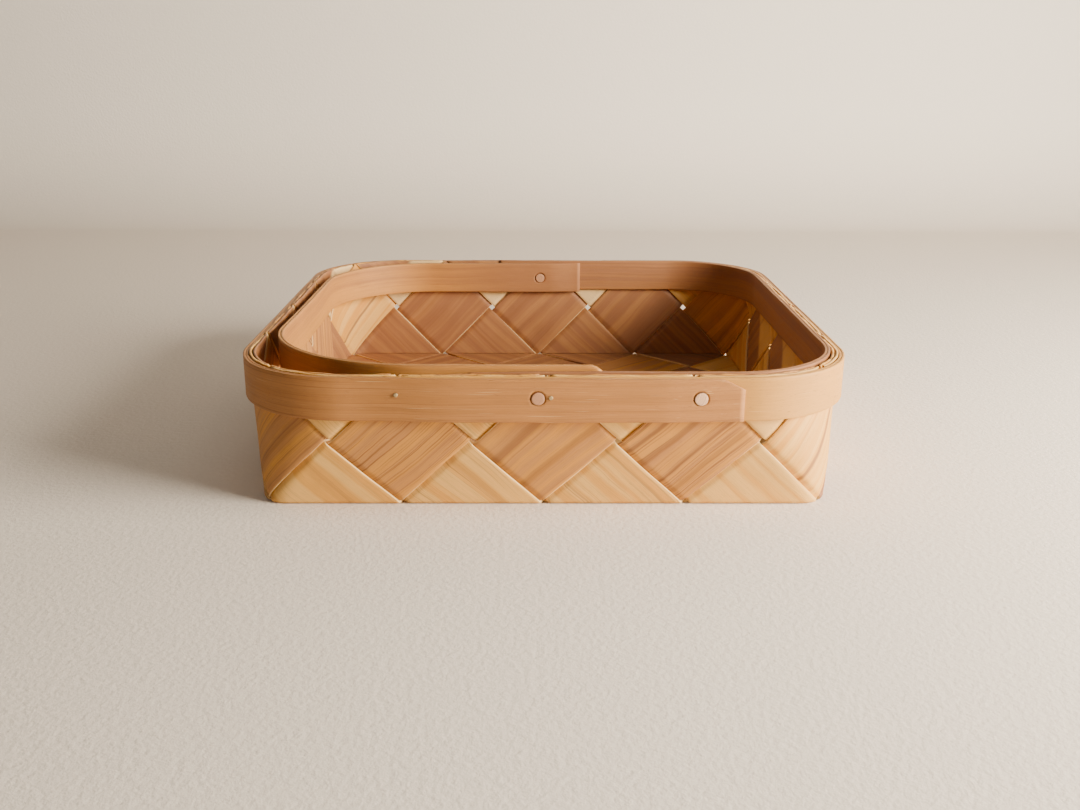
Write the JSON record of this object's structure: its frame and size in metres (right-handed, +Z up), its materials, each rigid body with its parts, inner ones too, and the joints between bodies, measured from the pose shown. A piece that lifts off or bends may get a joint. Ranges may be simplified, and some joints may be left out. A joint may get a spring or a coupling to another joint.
{
  "type": "plaited splint tray basket",
  "caption": "Low square open basket plaited on the bias from wide wooden splints, with bent-wood hoops lapped round its rounded rim and held by wooden pegs.",
  "frame": {"origin": "middle of the basket's footprint, on the surface that its base rests on", "axes": "+Z up out of the open top; -Y is the front, where the outer hoop's visible end and the pegs are; +X is the right-hand side seen from the front"},
  "size_m": [0.2504, 0.2536, 0.0592],
  "materials": {
    "splint_wood": "smooth split softwood, oiled matt",
    "hoop_wood": "planed bent wood, satin",
    "peg_wood": "end grain, matt",
    "brad_steel": "bright, slightly tarnished"
  },
  "bodies": {
    "root": {"splint_front_left_1": "splint_wood", "splint_front_left_2": "splint_wood", "splint_front_left_3": "splint_wood", "splint_front_left_4": "splint_wood", "splint_front_right_1": "splint_wood", "splint_front_right_2": "splint_wood", "splint_front_right_3": "splint_wood", "splint_front_right_4": "splint_wood", "splint_back_right_1": "splint_wood", "splint_back_right_2": "splint_wood", "splint_back_right_3": "splint_wood", "splint_back_right_4": "splint_wood", "splint_back_left_1": "splint_wood", "splint_back_left_2": "splint_wood", "splint_back_left_3": "splint_wood", "splint_back_left_4": "splint_wood", "outer_hoop": "hoop_wood", "inner_hoop_right": "hoop_wood", "inner_hoop_left": "hoop_wood", "front_centre_peg": "peg_wood", "front_right_peg": "peg_wood", "back_centre_peg": "peg_wood", "front_left_brad": "brad_steel", "front_centre_brad": "brad_steel"}
  },
  "joints": []
}
